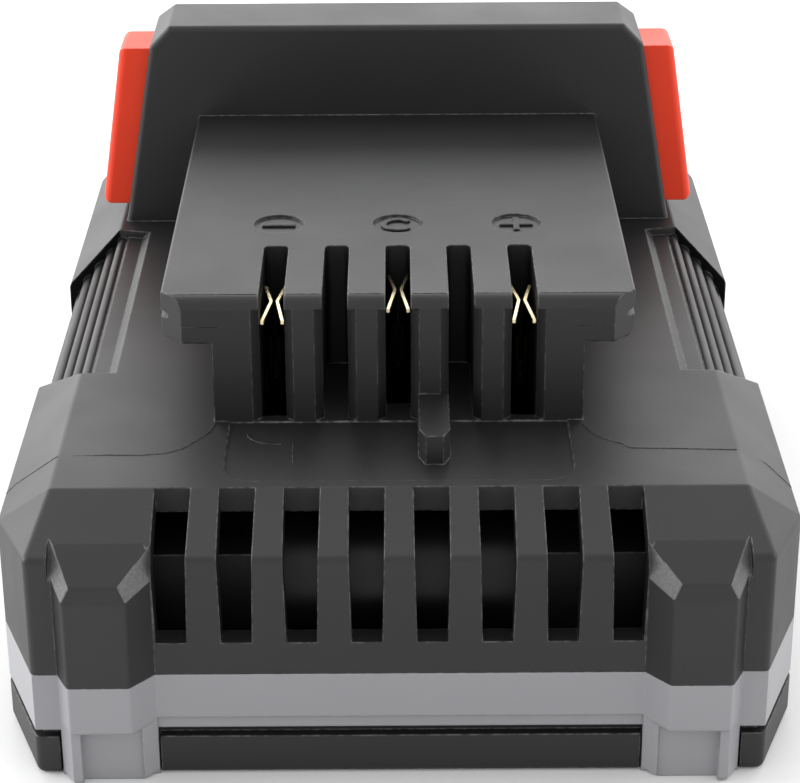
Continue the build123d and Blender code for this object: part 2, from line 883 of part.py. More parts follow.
def housing_posts():
    """Screw posts under the deck, cut off where the slopes pass."""
    inset = frame_wall + fit_gap
    room = body_form(inset, inset, frame_top - overrun)
    posts = [rod(place, post_radius, (post_joint_level, deck_top)) & room for place in screw_places]
    return Part() + posts


def housing_screw_holes():
    """Pilot holes for the housing screws."""
    top = screw_recess + screw_head_height + screw_length
    radius = screw_radius + screw_clearance
    holes = [rod(place, radius, (0, top + screw_bore_gap)) for place in screw_places]
    return Part() + holes


def spring_post():
    """Post under the rail plate that both release springs push against, with its spigots."""
    _, y, z = spring_place(1)
    low = deck_top + arm_level
    half_length = post_length / 2
    x_range = (-post_half_width, post_half_width)
    post = block(x_range, (y - half_length, y + half_length), (low, block_inside_top + plate_skin / 2))
    reach = 2 * (post_half_width + spigot_length)
    return post + Location((0, y, z), (0, 90, 0)) * Cylinder(spigot_radius, reach)


def latch_windows():
    """Openings in the terminal block's walls for the latches."""
    arm_front = hood_front_y - arm_reach
    middle = deck_top + arm_level + arm_height / 2
    half = latch_height / 2 + slide_gap
    y_range = (arm_front - slide_gap, arm_front + latch_length + slide_gap)
    x_range = (block_inside - seat_gap, block_half_width + seat_gap)
    return [block(mirrored(x_range, side), y_range, (middle - half, middle + half)) for side in sides]


def contact_places():
    """Middle X and waist Y of the negative, control and positive contacts."""
    xs = slot_xs()
    outer_y = plate_front_y + contact_setback
    return {
        "contact_negative": (xs[0], outer_y),
        "contact_control": (xs[slot_count // 2], plate_front_y + control_contact_setback),
        "contact_positive": (xs[-1], outer_y),
    }


def contact_windows():
    """Openings in the deck for the contacts that stand on the board."""
    half = slot_width / 2
    z_range = (deck_top - housing_wall - seat_gap, deck_top + seat_gap)
    windows = []
    for x, y in contact_places().values():
        y_range = (y - contact_front_length - slide_gap, y + contact_rear_length + slide_gap)
        windows.append(block((x - half, x + half), y_range, z_range))
    return windows


def led_posts():
    """Posts under the back slope of the hood that the indicator board stands on."""
    slope = hood_slope()
    height = led_board_depth - hood_wall / 2
    level = -hood_wall / 2 - height / 2
    post = Cylinder(led_post_radius, height)
    return Part() + [slope * Pos(x, y, level) * post for x, y in led_post_places()]


def window_form(grow, corner, thickness, level):
    """Rounded strip in the slope's own frame, its top at a level."""
    size = (window_width + 2 * grow, window_height + 2 * grow, thickness)
    strip = Pos(window_x, 0, level - thickness / 2) * Box(*size)
    return fillet(strip.edges().filter_by(Axis.Z), corner)


def indicator_cuts():
    """Recess and light opening for the indicator window, and the charge button's hole."""
    slope = hood_slope()
    recess = window_form(fit_gap, window_corner + fit_gap, window_thickness + overrun, overrun)
    light = window_form(-window_ledge, light_corner, 2 * hood_wall + overrun, overrun / 2)
    hole_radius = charge_button_radius + charge_button_clearance
    hole = Pos(charge_button_x, 0, 0) * Cylinder(hole_radius, 2 * hood_wall + overrun)
    return slope * (recess + light + hole)


def middle_frame():
    """Grey band between the shells, with a leg under each front bumper."""
    frame = slab(0, frame_bottom, frame_top) - slab(frame_wall, frame_bottom - overrun, frame_top + overrun)
    step = slab(0, frame_bottom, frame_bottom + band_step_height)
    step -= slab(band_step_depth, frame_bottom - overrun, frame_top)
    span = bumper_inner - bumper_inner_flare
    frame -= step & block((-span, span), (bumper_front_y, 0), (0, frame_top))
    for side in sides:
        skirt = prism(bumper_outline(side, 0, frame_top - bumper_skirt), (0, 0, bumper_skirt))
        lower = skirt.edges().filter_by(
            lambda edge: edge.center().Z < frame_top - seat_gap and edge.center().Y < front_y
        )
        skirt = fillet(lower, bumper_round)
        leg = prism(bumper_outline(side, leg_setback, 0), (0, 0, frame_top - leg_round))
        foot_edges = leg.edges().filter_by(
            lambda edge: edge.center().Y < front_y - seat_gap and edge.center().Z < frame_bottom
        )
        leg = fillet(foot_edges, leg_round)
        panel_x = (
            bumper_inner - bumper_inner_flare + leg_inner_strip_width,
            bumper_outer - leg_outer_strip_width,
        )
        panel_y = (bumper_front_y - overrun, bumper_front_y + leg_setback + leg_panel_depth)
        leg -= block(mirrored(panel_x, side), panel_y, (-overrun, frame_top - bumper_skirt))
        back = block((-half_width, half_width), (front_y, 0), (-overrun, frame_top + overrun))
        front_part = (skirt + leg) - back
        behind = block(
            mirrored((bumper_inner - bumper_inner_flare, bumper_outer + bumper_outer_flare), side),
            (front_y, bumper_front_y + leg_setback + leg_depth),
            (0, frame_bottom),
        )
        frame += front_part + behind
    return frame


def leg_notches():
    """Notches in the tray's front for the frame's legs."""
    span = (bumper_inner - bumper_inner_flare - fit_gap, bumper_outer + bumper_outer_flare + fit_gap)
    y_range = (bumper_front_y - overrun, bumper_front_y + leg_setback + leg_depth + fit_gap)
    return [block(mirrored(span, side), y_range, (-overrun, frame_bottom)) for side in sides]


def lower_housing():
    """Black tray that closes the pack from below."""
    rim_inset = frame_wall + fit_gap
    rim_top = frame_bottom + rim_height
    foot = slab(0, 0, tray_height)
    foot = fillet(foot.edges().filter_by(lambda edge: edge.center().Z < tray_height - seat_gap), body_round)
    tray = foot + slab(shadow_depth, tray_height / 2, frame_bottom)
    tray += slab(rim_inset, tray_height / 2, rim_top)
    tray -= slab(rim_inset + rim_wall, tray_floor, rim_top + overrun)
    outside = foot + slab(rim_inset, 0, post_joint_level)
    for place in screw_places:
        tray += rod(place, tray_post_radius, (0, post_joint_level)) & outside
    for place in screw_places:
        tray -= rod(place, screw_head_radius + fit_gap, (-overrun, screw_recess + screw_head_height))
        tray -= rod(place, screw_radius + screw_clearance, (0, rim_top + overrun))
    for notch in leg_notches():
        tray -= notch
    return tray


def housing_screws():
    """Four screws that pull the tray and the top shell together from below."""
    screws = []
    head_top = screw_recess + screw_head_height
    for place in screw_places:
        screw = rod(place, screw_head_radius, (screw_recess, head_top))
        screw += rod(place, screw_radius, (head_top, head_top + screw_length))
        hexagon = extrude(RegularPolygon(drive_radius, 6), amount=drive_depth)
        screws.append(screw - Pos(place[0], place[1], screw_recess) * hexagon)
    return screws


def positive_side(index):
    """End of the pack at which a cell has its cap."""
    return 1 if index % 2 == 0 else -1


def cell(index):
    """One round cell, its cap at alternate ends."""
    can_length = cell_length - cell_cap_height
    side = positive_side(index)
    turn = Location((0, cell_ys[index], cell_z), (0, 90, 0))
    can = Cylinder(cell_radius, can_length)
    can = fillet(can.edges().filter_by(GeomType.CIRCLE), cell_round)
    cap_height = cell_cap_height + cell_round
    can = Pos(0, 0, -side * cell_cap_height / 2) * can
    cap = Pos(0, 0, side * (cell_end - cap_height / 2)) * Cylinder(cell_cap_diameter / 2, cap_height)
    return turn * (can + cap)


def cell_washers():
    """Paper washers around the caps."""
    washers = []
    for index in range(cell_count):
        side = positive_side(index)
        x = side * (cell_end - cell_cap_height + washer_thickness / 2)
        washer = Cylinder(washer_outer / 2, washer_thickness) - Cylinder(washer_inner / 2, washer_thickness)
        washers.append(Location((x, cell_ys[index], cell_z), (0, 90, 0)) * washer)
    return washers


def board_boss_ys():
    """Valleys between the cells that the board's bosses stand in."""
    return [cell_ys[0] + cell_pitch / 2, cell_ys[2] + cell_pitch / 2]


def cell_holder(side):
    """Plastic frame that holds one end of all five cells, with the board's bosses."""
    inner = holder_outer - holder_end_wall - holder_depth
    corner_x = holder_outer - holder_corner_width
    plan = [
        (inner, holder_front_y),
        (corner_x, holder_front_y),
        (holder_outer, holder_front_y + holder_corner_length),
        (holder_outer, holder_rear_y - holder_corner_length),
        (corner_x, holder_rear_y),
        (inner, holder_rear_y),
    ]
    low = holder_bottom + holder_cut_back
    high = holder_top - holder_cut_back - holder_foot_gap
    sleeve = prism([(side * x, y, low) for x, y in plan], (0, 0, high - low))
    wall_in = holder_outer - holder_end_wall
    end_x = mirrored((wall_in, holder_outer), side)
    end_y = (holder_front_y + holder_corner_length, holder_rear_y - holder_corner_length)
    holder = sleeve + block(end_x, end_y, (holder_bottom, holder_top))
    bore_end = cell_end + seat_gap / 2
    for y in cell_ys:
        bore = Location((side * bore_end / 2, y, cell_z), (0, 90, 0))
        bore *= Cylinder(cell_radius + cell_fit, bore_end)
        window = Location((side * bore_end, y, cell_z), (0, 90, 0)) * Cylinder(window_diameter / 2, overrun)
        holder = holder - bore - window
    for y in board_boss_ys():
        boss = rod((side * board_boss_x, y), board_boss_radius, (low, board_bottom))
        for cell_y in cell_ys:
            bore = Location((side * bore_end / 2, cell_y, cell_z), (0, 90, 0))
            boss -= bore * Cylinder(cell_radius + cell_fit, bore_end)
        holder += boss
        pilot = board_screw_radius + screw_clearance
        pilot_low = board_top - board_screw_length - screw_bore_gap
        holder -= rod((side * board_boss_x, y), pilot, (pilot_low, board_bottom))
    return holder


def strip(side, indices):
    """Nickel strip that is welded to one or two cells, with an ear under the board."""
    out = holder_outer + strip_thickness
    first_y = cell_ys[indices[0]]
    last_y = cell_ys[indices[-1]]
    half = strip_width / 2
    x_range = mirrored((holder_outer, out), side)
    piece = block(x_range, (first_y - half, last_y + half), (cell_z - half, cell_z + half))
    for index in indices:
        y = cell_ys[index]
        pad_length = holder_outer - cell_end
        middle = Location((side * (cell_end + pad_length / 2), y, cell_z), (0, 90, 0))
        piece += middle * Cylinder(strip_pad_diameter / 2, pad_length)
    ear_y = (first_y + last_y) / 2
    ear_half = ear_width / 2
    ear_range = (ear_y - ear_half, ear_y + ear_half)
    piece += block(x_range, ear_range, (cell_z, ear_top))
    ear_x = mirrored((holder_outer - ear_reach, out), side)
    return piece + block(ear_x, ear_range, (holder_top, ear_top))


def strips():
    """All strips in series order, from the negative cell to the positive one."""
    pairs = {
        "negative_strip": (-1, (0,)),
        "link_strip_1_2": (1, (0, 1)),
        "link_strip_2_3": (-1, (1, 2)),
        "link_strip_3_4": (1, (2, 3)),
        "link_strip_4_5": (-1, (3, 4)),
        "positive_strip": (1, (4,)),
    }
    return {name: strip(side, indices) for name, (side, indices) in pairs.items()}


def end_sheet(side):
    """Insulating sheet over the strips at one end."""
    x = holder_outer + strip_thickness
    y_range = (holder_front_y + holder_corner_length, holder_rear_y - holder_corner_length)
    z_range = (holder_bottom + end_sheet_margin, holder_top - end_sheet_margin)
    return block(mirrored((x, x + end_sheet_thickness), side), y_range, z_range)


def circuit_board():
    """Main board over the cells."""
    x_range = (-board_half_width, board_half_width)
    board = block(x_range, (board_front_y, board_rear_y), (board_bottom, board_top))
    for side in sides:
        for y in board_boss_ys():
            radius = board_screw_radius + screw_clearance
            board -= rod((side * board_boss_x, y), radius, (board_bottom - overrun, board_top + overrun))
    return board


def board_screws():
    """Small screws that hold the board on the cell holders."""
    screws = []
    for side in sides:
        for y in board_boss_ys():
            place = (side * board_boss_x, y)
            screw = rod(place, board_screw_radius, (board_top - board_screw_length, board_top))
            head_top = board_top + board_screw_head_height
            screws.append(screw + rod(place, board_screw_head_radius, (board_top, head_top)))
    return screws


def board_chips():
    """Controller and power transistors on the main board."""
    chips = []
    for width, length, x_share, y_share in zip(chip_widths, chip_lengths, chip_x_shares, chip_y_shares):
        x = x_share * board_half_width
        y = board_front_y + y_share * (board_rear_y - board_front_y)
        x_range = (x - width / 2, x + width / 2)
        y_range = (y - length / 2, y + length / 2)
        chips.append(block(x_range, y_range, (board_top, board_top + chip_height)))
    return chips


def thermistor():
    """Temperature sensor between two cells, on leads from the board."""
    y = cell_ys[2] + cell_pitch / 2
    reach = cell_radius + thermistor_radius + thermistor_gap
    z = cell_z + math.sqrt(reach**2 - (cell_pitch / 2) ** 2)
    bead = Location((0, y, z), (0, 90, 0)) * Cylinder(thermistor_radius, thermistor_length)
    for side in sides:
        place = (side * thermistor_lead_spacing / 2, y)
        bead += rod(place, thermistor_lead_radius, (z, board_bottom))
    return bead


def contact(x, waist_y):
    """Pair of brass leaves that pinch the tool's blade, on a common foot."""
    front = waist_y - contact_front_length
    rear = waist_y + contact_rear_length
    top = plate_top - contact_drop
    low = board_top
    outer = contact_waist_gap / 2 + contact_flare + contact_thickness
    foot_top = low + contact_base_height
    piece = block((x - outer, x + outer), (front, rear), (low, foot_top))
    stem_y = waist_y - contact_stem_front
    tip_z = top - contact_tip_height
    under_tip = [
        (x - outer, front - overrun, foot_top),
        (x - outer, front - overrun, tip_z),
        (x - outer, front, tip_z),
        (x - outer, stem_y, tip_z - contact_shoulder_drop),
        (x - outer, stem_y, foot_top),
    ]
    relief = prism(under_tip, (2 * outer, 0, 0))
    for side in sides:
        inner = [
            (x + side * (contact_waist_gap / 2 + contact_flare), front),
            (x + side * contact_waist_gap / 2, waist_y),
            (x + side * (contact_waist_gap / 2 + contact_flare), rear),
        ]
        outside = [(px + side * contact_thickness, py) for px, py in inner]
        leaf = extrude(make_face(Polyline(*inner, *reversed(outside), close=True)), amount=top - low)
        piece += Pos(0, 0, low) * leaf - relief
    return piece


def indicator_window():
    """Clear strip over the charge lights."""
    return hood_slope() * window_form(0, window_corner, window_thickness, 0)


def charge_button():
    """Push button that shows the charge, with its rim and stem under the slope."""
    rim_top = -hood_wall - seat_gap
    cap_height = charge_button_stand - rim_top
    cap = Pos(0, 0, charge_button_stand - cap_height / 2) * Cylinder(charge_button_radius, cap_height)
    crown = cap.edges().filter_by(GeomType.CIRCLE).sort_by(Axis.Z)[-1]
    cap = fillet(crown, charge_button_stand / 2)
    rim_radius = charge_button_radius + charge_button_rim
    rim_level = rim_top - charge_button_rim_thickness / 2
    cap += Pos(0, 0, rim_level) * Cylinder(rim_radius, charge_button_rim_thickness)
    stem_top = rim_top - charge_button_rim_thickness
    stem_end = switch_height - led_board_depth + charge_button_travel + seat_gap
    stem_length = stem_top - stem_end
    cap += Pos(0, 0, stem_end + stem_length / 2) * Cylinder(charge_button_stem_radius, stem_length)
    return hood_slope() * Pos(charge_button_x, 0, 0) * cap


def indicator_board():
    """Small board under the back slope."""
    level = -led_board_depth - led_board_thickness / 2
    return hood_slope() * Pos(0, 0, level) * Box(led_board_width, led_board_height, led_board_thickness)


def charge_leds():
    """Row of lights on the small board."""
    lights = []
    for index in range(led_count):
        x = window_x + (index - (led_count - 1) / 2) * led_pitch
        place = Pos(x, 0, led_height / 2 - led_board_depth)
        lights.append(hood_slope() * place * Box(led_size, led_size, led_height))
    return lights


def charge_switch():
    """Switch on the small board under the charge button."""
    place = Pos(charge_button_x, 0, switch_height / 2 - led_board_depth)
    return hood_slope() * place * Box(switch_size, switch_size, switch_height)


def indicator_ribbon():
    """Flat lead from the small board down to the main board."""
    slope = hood_slope()
    under = -led_board_depth - led_board_thickness
    edge = (slope * Pos(0, -led_board_height / 2 + ribbon_tail, under)).position
    inner = (slope * Pos(0, -led_board_height / 2 + ribbon_tail, under - ribbon_thickness)).position
    start = (slope * Pos(0, -led_board_height / 2, under)).position
    start_inner = (slope * Pos(0, -led_board_height / 2, under - ribbon_thickness)).position
    end_y = board_rear_y - ribbon_tail
    half = ribbon_width / 2
    points = [
        (-half, edge.Y, edge.Z),
        (-half, start.Y - ribbon_thickness, start.Z),
        (-half, end_y, board_top + ribbon_thickness),
        (-half, end_y, board_top),
        (-half, end_y + ribbon_tail, board_top),
        (-half, start_inner.Y + ribbon_thickness, start_inner.Z),
        (-half, inner.Y, inner.Z),
    ]
    return prism(points, (ribbon_width, 0, 0))


def pieces():
    """Every piece of the pack by name."""
    named = {
        "upper_housing": upper_housing(),
        "middle_frame": middle_frame(),
        "lower_housing": lower_housing(),
        "housing_screws": housing_screws(),
        "circuit_board": circuit_board(),
        "board_screws": board_screws(),
        "board_chips": board_chips(),
        "thermistor": thermistor(),
        "cell_washers": cell_washers(),
        "indicator_board": indicator_board(),
        "indicator_window": indicator_window(),
        "indicator_ribbon": indicator_ribbon(),
        "charge_leds": charge_leds(),
        "charge_switch": charge_switch(),
        "charge_button": charge_button(),
    }
    for side, word in zip(sides, ("left", "right")):
        named[f"release_button_{word}"] = release_button(side)
        named[f"release_spring_{word}"] = release_spring(side)
        named[f"cell_holder_{word}"] = cell_holder(side)
        named[f"end_sheet_{word}"] = end_sheet(side)
    for index in range(cell_count):
        named[f"cell_{index + 1}"] = cell(index)
    for name, (x, y) in contact_places().items():
        named[name] = contact(x, y)
    named.update(strips())
    return named


def solids_of(shape):
    """Separate solids of a piece or of a group of like pieces."""
    if isinstance(shape, list):
        return [solid for member in shape for solid in member.solids()]
    return list(shape.solids())


os.makedirs("parts", exist_ok=True)
for name, shape in pieces().items():
    export_step(Compound(children=solids_of(shape)), f"parts/{name}.step")
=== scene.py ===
"""Slide-on battery pack of a cordless tool: finishes, moulded details, studio and camera."""

import json
import logging
import math
from dataclasses import dataclass
from enum import Enum
from typing import Callable

import bpy
from mathutils import Matrix, Vector


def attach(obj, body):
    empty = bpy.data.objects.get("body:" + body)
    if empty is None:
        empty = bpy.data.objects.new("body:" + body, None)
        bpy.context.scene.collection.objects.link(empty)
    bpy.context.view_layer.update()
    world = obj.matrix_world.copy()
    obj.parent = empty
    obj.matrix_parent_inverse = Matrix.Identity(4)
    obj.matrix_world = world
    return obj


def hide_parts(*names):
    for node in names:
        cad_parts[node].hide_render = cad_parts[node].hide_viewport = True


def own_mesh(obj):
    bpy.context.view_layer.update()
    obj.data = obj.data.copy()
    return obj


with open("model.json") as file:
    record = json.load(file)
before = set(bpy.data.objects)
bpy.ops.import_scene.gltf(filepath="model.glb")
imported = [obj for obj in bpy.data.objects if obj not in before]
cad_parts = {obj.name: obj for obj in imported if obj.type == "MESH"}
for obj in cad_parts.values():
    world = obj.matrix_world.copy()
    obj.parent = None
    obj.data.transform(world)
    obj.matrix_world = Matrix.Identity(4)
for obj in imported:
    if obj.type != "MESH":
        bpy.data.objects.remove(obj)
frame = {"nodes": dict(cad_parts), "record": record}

LOG = logging.getLogger("battery_pack")
PACK = "pack"
MM = 0.001

# The sRGB curve: a straight foot up to the knee, and a power above it.
FULL_CHANNEL = 255
SRGB_KNEE = 0.04045
SRGB_FOOT = 12.92
SRGB_OFFSET = 0.055
SRGB_POWER = 2.4

# A Mix node has inputs and outputs for each type of data, and these are the ones for colours.
MIX_A = 6
MIX_B = 7
MIX_RESULT = 2

# Most of a noise pattern lies between these values.
NOISE_LOW = 0.3
NOISE_HIGH = 0.7

WHITE = (1.0, 1.0, 1.0, 1.0)

SOFTEN_SEGMENTS = 2
MERGE_DISTANCE = 1e-7
SMOOTH_ANGLE = math.radians(40)
BEAD_SIDES = 6

# Least cosine between two directions that count as the same.
SAME_WAY = 0.99
# Share of half a stroke that a face's middle may lie beside the sign's middle.
MIDDLE_SHARE = 0.1

Point = tuple[float, float, float]
Places = tuple[tuple[float, float], ...]
Object = bpy.types.Object
Tree = bpy.types.NodeTree
Node = bpy.types.Node
Socket = bpy.types.NodeSocket


class Sign(Enum):
    """Signs moulded beside the terminal slots."""

    MINUS = "minus"
    CONTROL = "control"
    PLUS = "plus"


def linear(hex_colour: str) -> tuple[float, float, float, float]:
    """Turns an sRGB hex colour into linear values.

    Args:
        hex_colour: Six hex digits after a hash sign.

    Returns:
        Linear red, green and blue, and an alpha of 1.
    """
    channels = [int(hex_colour[start : start + 2], 16) / FULL_CHANNEL for start in (1, 3, 5)]
    values = [
        c / SRGB_FOOT if c <= SRGB_KNEE else ((c + SRGB_OFFSET) / (1 + SRGB_OFFSET)) ** SRGB_POWER
        for c in channels
    ]
    return (*values, 1.0)


def add_node(tree: Tree, kind: str, inputs: dict | None = None, **settings: object) -> Node:
    """Adds a node with its settings, values and links.

    Args:
        tree: Node tree that takes the node.
        kind: Type name of the node.
        inputs: Value or output socket for each named or numbered input.
        **settings: Properties of the node.

    Returns:
        The new node.
    """
    node = tree.nodes.new(kind)
    for name, value in settings.items():
        setattr(node, name, value)
    for name, value in (inputs or {}).items():
        if isinstance(value, Socket):
            tree.links.new(value, node.inputs[name])
        else:
            node.inputs[name].default_value = value
    return node


def per_metre(size_mm: float) -> float:
    """Texture scale that gives features of a size in millimetres."""
    return 1 / (size_mm * MM)


def new_material(name: str) -> tuple[bpy.types.Material, Tree]:
    """Starts a material.

    Args:
        name: Name of the material.

    Returns:
        The material and its node tree, with no nodes.
    """
    material = bpy.data.materials.new(name)
    material.use_nodes = True
    material.node_tree.nodes.clear()
    return material, material.node_tree


def seen_by(tree: Tree, rays: tuple[str, ...]) -> Socket:
    """Tells the rays that see a surface from those that it only lights.

    Args:
        tree: Node tree that takes the nodes.
        rays: Kinds of ray that see it, by the names of Light Path's outputs.

    Returns:
        1 for a ray of these kinds, and otherwise 0.
    """
    path = add_node(tree, "ShaderNodeLightPath").outputs
    seen = path[rays[0]]
    for ray in rays[1:]:
        seen = add_node(tree, "ShaderNodeMath", {0: seen, 1: path[ray]}, operation="MAXIMUM").outputs[0]
    return seen


@dataclass(frozen=True)
class MouldedPlastic:
    """Injection-moulded plastic with the skin of a spark-eroded mould.

    The fine grain breaks up the gloss, faint flow clouds vary it, and handled edges are a little paler.
    """

    name: str
    colour: str
    cloud_colour: str
    roughness: float
    roughness_spread: float = 0.05
    ior: float = 1.53
    # The real grain is about 0.1 mm across, too fine to show, so it is drawn coarser.
    grain_mm: float = 0.25
    grain_height_mm: float = 0.014
    grain_detail: float = 2.0
    cloud_mm: float = 9.0
    cloud_detail: float = 4.0
    edge_radius_mm: float = 0.25
    edge_samples: int = 6
    pale_colour: str = "#A0A0A2"
    wear_share: float = 0.5
    # Cosines between an edge's rounded and flat normals, where wear begins and where it is full.
    wear_begins: float = 0.985
    wear_full: float = 0.86
    speck_mm: float = 0.7
    speck_detail: float = 5.0
    speck_low: float = 0.4
    speck_high: float = 0.65

    def material(self) -> bpy.types.Material:
        """Builds the node material.

        Returns:
            The material.
        """
        material, tree = new_material(self.name)
        place = add_node(tree, "ShaderNodeTexCoord").outputs["Object"]
        cloud, grain = (
            add_node(
                tree, "ShaderNodeTexNoise", {"Vector": place, "Scale": per_metre(size), "Detail": detail}
            ).outputs["Fac"]
            for size, detail in ((self.cloud_mm, self.cloud_detail), (self.grain_mm, self.grain_detail))
        )
        edge = add_node(
            tree, "ShaderNodeBevel", {"Radius": self.edge_radius_mm * MM}, samples=self.edge_samples
        ).outputs[0]
        colour: Socket | tuple = linear(self.colour)
        # For the black shell, the pale layer also holds the chamfers' painted highlight.
        layers = ((cloud, self.cloud_colour), (self.pale_share(tree, place, edge), self.pale_colour))
        for share, layer in layers:
            colour = add_node(
                tree, "ShaderNodeMix", {0: share, MIX_A: colour, MIX_B: linear(layer)}, data_type="RGBA"
            ).outputs[MIX_RESULT]
        roughness = add_node(
            tree,
            "ShaderNodeMapRange",
            {
                "Value": cloud,
                "From Min": NOISE_LOW,
                "From Max": NOISE_HIGH,
                "To Min": self.roughness - self.roughness_spread,
                "To Max": self.roughness + self.roughness_spread,
            },
        )
        bump = add_node(
            tree,
            "ShaderNodeBump",
            {"Distance": self.grain_height_mm * MM, "Height": grain, "Normal": edge},
        )
        surface = add_node(
            tree,
            "ShaderNodeBsdfPrincipled",
            {
                "Base Color": colour,
                "Roughness": roughness.outputs[0],
                "IOR": self.ior,
                "Normal": bump.outputs[0],
            },
        )
        add_node(tree, "ShaderNodeOutputMaterial", {"Surface": surface.outputs[0]})
        return material

    def pale_share(self, tree: Tree, place: Socket, edge: Socket) -> Socket:
        """Finds the edges that handling has made paler, in broken specks.

        Args:
            tree: Node tree that takes the nodes.
            place: Coordinates of the piece.
            edge: Normal with the edges rounded.

        Returns:
            The share of worn colour.
        """
        normal = add_node(tree, "ShaderNodeNewGeometry").outputs["Normal"]
        along = add_node(tree, "ShaderNodeVectorMath", {0: edge, 1: normal}, operation="DOT_PRODUCT")
        turned = add_node(
            tree,
            "ShaderNodeMapRange",
            {"Value": along.outputs["Value"], "From Min": self.wear_begins, "From Max": self.wear_full},
        )
        specks = add_node(
            tree,
            "ShaderNodeTexNoise",
            {"Vector": place, "Scale": per_metre(self.speck_mm), "Detail": self.speck_detail},
        )
        broken = add_node(
            tree,
            "ShaderNodeMapRange",
            {
                "Value": specks.outputs["Fac"],
                "From Min": self.speck_low,
                "From Max": self.speck_high,
                "To Max": self.wear_share,
            },
        )
        worn = add_node(
            tree, "ShaderNodeMath", {0: turned.outputs[0], 1: broken.outputs[0]}, operation="MULTIPLY"
        )
        return worn.outputs[0]


@dataclass(frozen=True)
class ChamferHighlightPlastic(MouldedPlastic):
    """Moulded plastic with worn edges, whose sideways chamfers at the front corners carry a painted
    highlight.
    """

    front_mm: float = -52.6
    front_fade_mm: float = 0.2
    side_mm: float = 33.2
    side_fade_mm: float = 0.1
    # Product of a face's sideways and upward lean, where the painted highlight begins and where it is
    # full.
    slant_begins: float = 0.1
    slant_full: float = 0.16
    highlight_share: float = 0.6
    highlight_speck_mm: float = 0.3
    highlight_speck_detail: float = 3.0
    highlight_speck_low: float = -0.4
    highlight_speck_high: float = 0.95

    def pale_share(self, tree: Tree, place: Socket, edge: Socket) -> Socket:
        """Finds the worn edges, and the chamfers that take a painted highlight.

        Args:
            tree: Node tree that takes the nodes.
            place: Coordinates of the piece.
            edge: Normal with the edges rounded.

        Returns:
            The share of pale colour: edge wear and painted highlight.
        """
        normal = add_node(tree, "ShaderNodeTexCoord").outputs["Normal"]
        facing, spot = (
            add_node(tree, "ShaderNodeSeparateXYZ", {0: vector}).outputs for vector in (normal, place)
        )
        sideways, outward = (
            add_node(tree, "ShaderNodeMath", {0: across}, operation="ABSOLUTE").outputs[0]
            for across in (facing["X"], spot["X"])
        )
        slant = add_node(tree, "ShaderNodeMath", {0: sideways, 1: facing["Z"]}, operation="MULTIPLY")
        specks = add_node(
            tree,
            "ShaderNodeTexNoise",
            {"Vector": place, "Scale": per_metre(self.highlight_speck_mm), "Detail": self.highlight_speck_detail},
        )
        ramps = (
            (specks.outputs["Fac"], self.highlight_speck_low, self.highlight_speck_high),
            (slant.outputs[0], self.slant_begins, self.slant_full),
            (spot["Y"], (self.front_mm + self.front_fade_mm) * MM, self.front_mm * MM),
            (outward, (self.side_mm + self.side_fade_mm) * MM, self.side_mm * MM),
        )
        # Painted highlight: chamfers at the front corners that lean sideways and upward are painted pale,
        # in place of the light they catch.
        chamfer_highlight: Socket | float = self.highlight_share
        for value, none_at, full_at in ramps:
            ramp = add_node(
                tree, "ShaderNodeMapRange", {"Value": value, "From Min": none_at, "From Max": full_at}
            )
            chamfer_highlight = add_node(
                tree, "ShaderNodeMath", {0: chamfer_highlight, 1: ramp.outputs[0]}, operation="MULTIPLY"
            ).outputs[0]
        worn = add_node(
            tree, "ShaderNodeMath", {0: chamfer_highlight, 1: super().pale_share(tree, place, edge)}, operation="MAXIMUM"
        )
        return worn.outputs[0]


@dataclass(frozen=True)
class SheetMetal:
    """Rolled, drawn or plated metal with fine streaks along one direction."""

    name: str
    colour: str
    dull_colour: str
    roughness: float
    smoother: float = 0.06
    rougher: float = 0.08
    # The real streaks are hair-thin, too fine to show, so they are drawn coarser.
    streak_mm: tuple[float, float, float] = (0.05, 1.5, 0.05)
    streak_height_mm: float = 0.001
    cloud_mm: float = 3.0

    def material(self) -> bpy.types.Material:
        """Builds the node material.

        Returns:
            The material.
        """
        material, tree = new_material(self.name)
        place = add_node(tree, "ShaderNodeTexCoord").outputs["Object"]
        stretched = add_node(
            tree,
            "ShaderNodeMapping",
            {"Vector": place, "Scale": [per_metre(size) for size in self.streak_mm]},
        )
        streak, cloud = (
            add_node(tree, "ShaderNodeTexNoise", {"Vector": vector, "Scale": scale}).outputs["Fac"]
            for vector, scale in ((stretched.outputs[0], 1.0), (place, per_metre(self.cloud_mm)))
        )
        roughness = add_node(
            tree,
            "ShaderNodeMapRange",
            {
                "Value": streak,
                "From Min": NOISE_LOW,
                "From Max": NOISE_HIGH,
                "To Min": self.roughness - self.smoother,
                "To Max": self.roughness + self.rougher,
            },
        )
        bump = add_node(
            tree, "ShaderNodeBump", {"Distance": self.streak_height_mm * MM, "Height": streak}
        )
        surface = add_node(
            tree,
            "ShaderNodeBsdfPrincipled",
            {
                "Base Color": self.tint(tree, place, cloud),
                "Metallic": 1.0,
                "Roughness": roughness.outputs[0],
                "Normal": bump.outputs[0],
            },
        )
        add_node(tree, "ShaderNodeOutputMaterial", {"Surface": surface.outputs[0]})
        return material

    def tint(self, tree: Tree, place: Socket, cloud: Socket) -> Socket:
        """Mixes bright and dull metal.

        Args:
            tree: Node tree that takes the node.
            place: Coordinates of the piece.
            cloud: Share of dull metal.

        Returns:
            The colour.
        """
        node = add_node(
            tree,
            "ShaderNodeMix",
            {0: cloud, MIX_A: linear(self.colour), MIX_B: linear(self.dull_colour)},
            data_type="RGBA",
        )
        return node.outputs[MIX_RESULT]


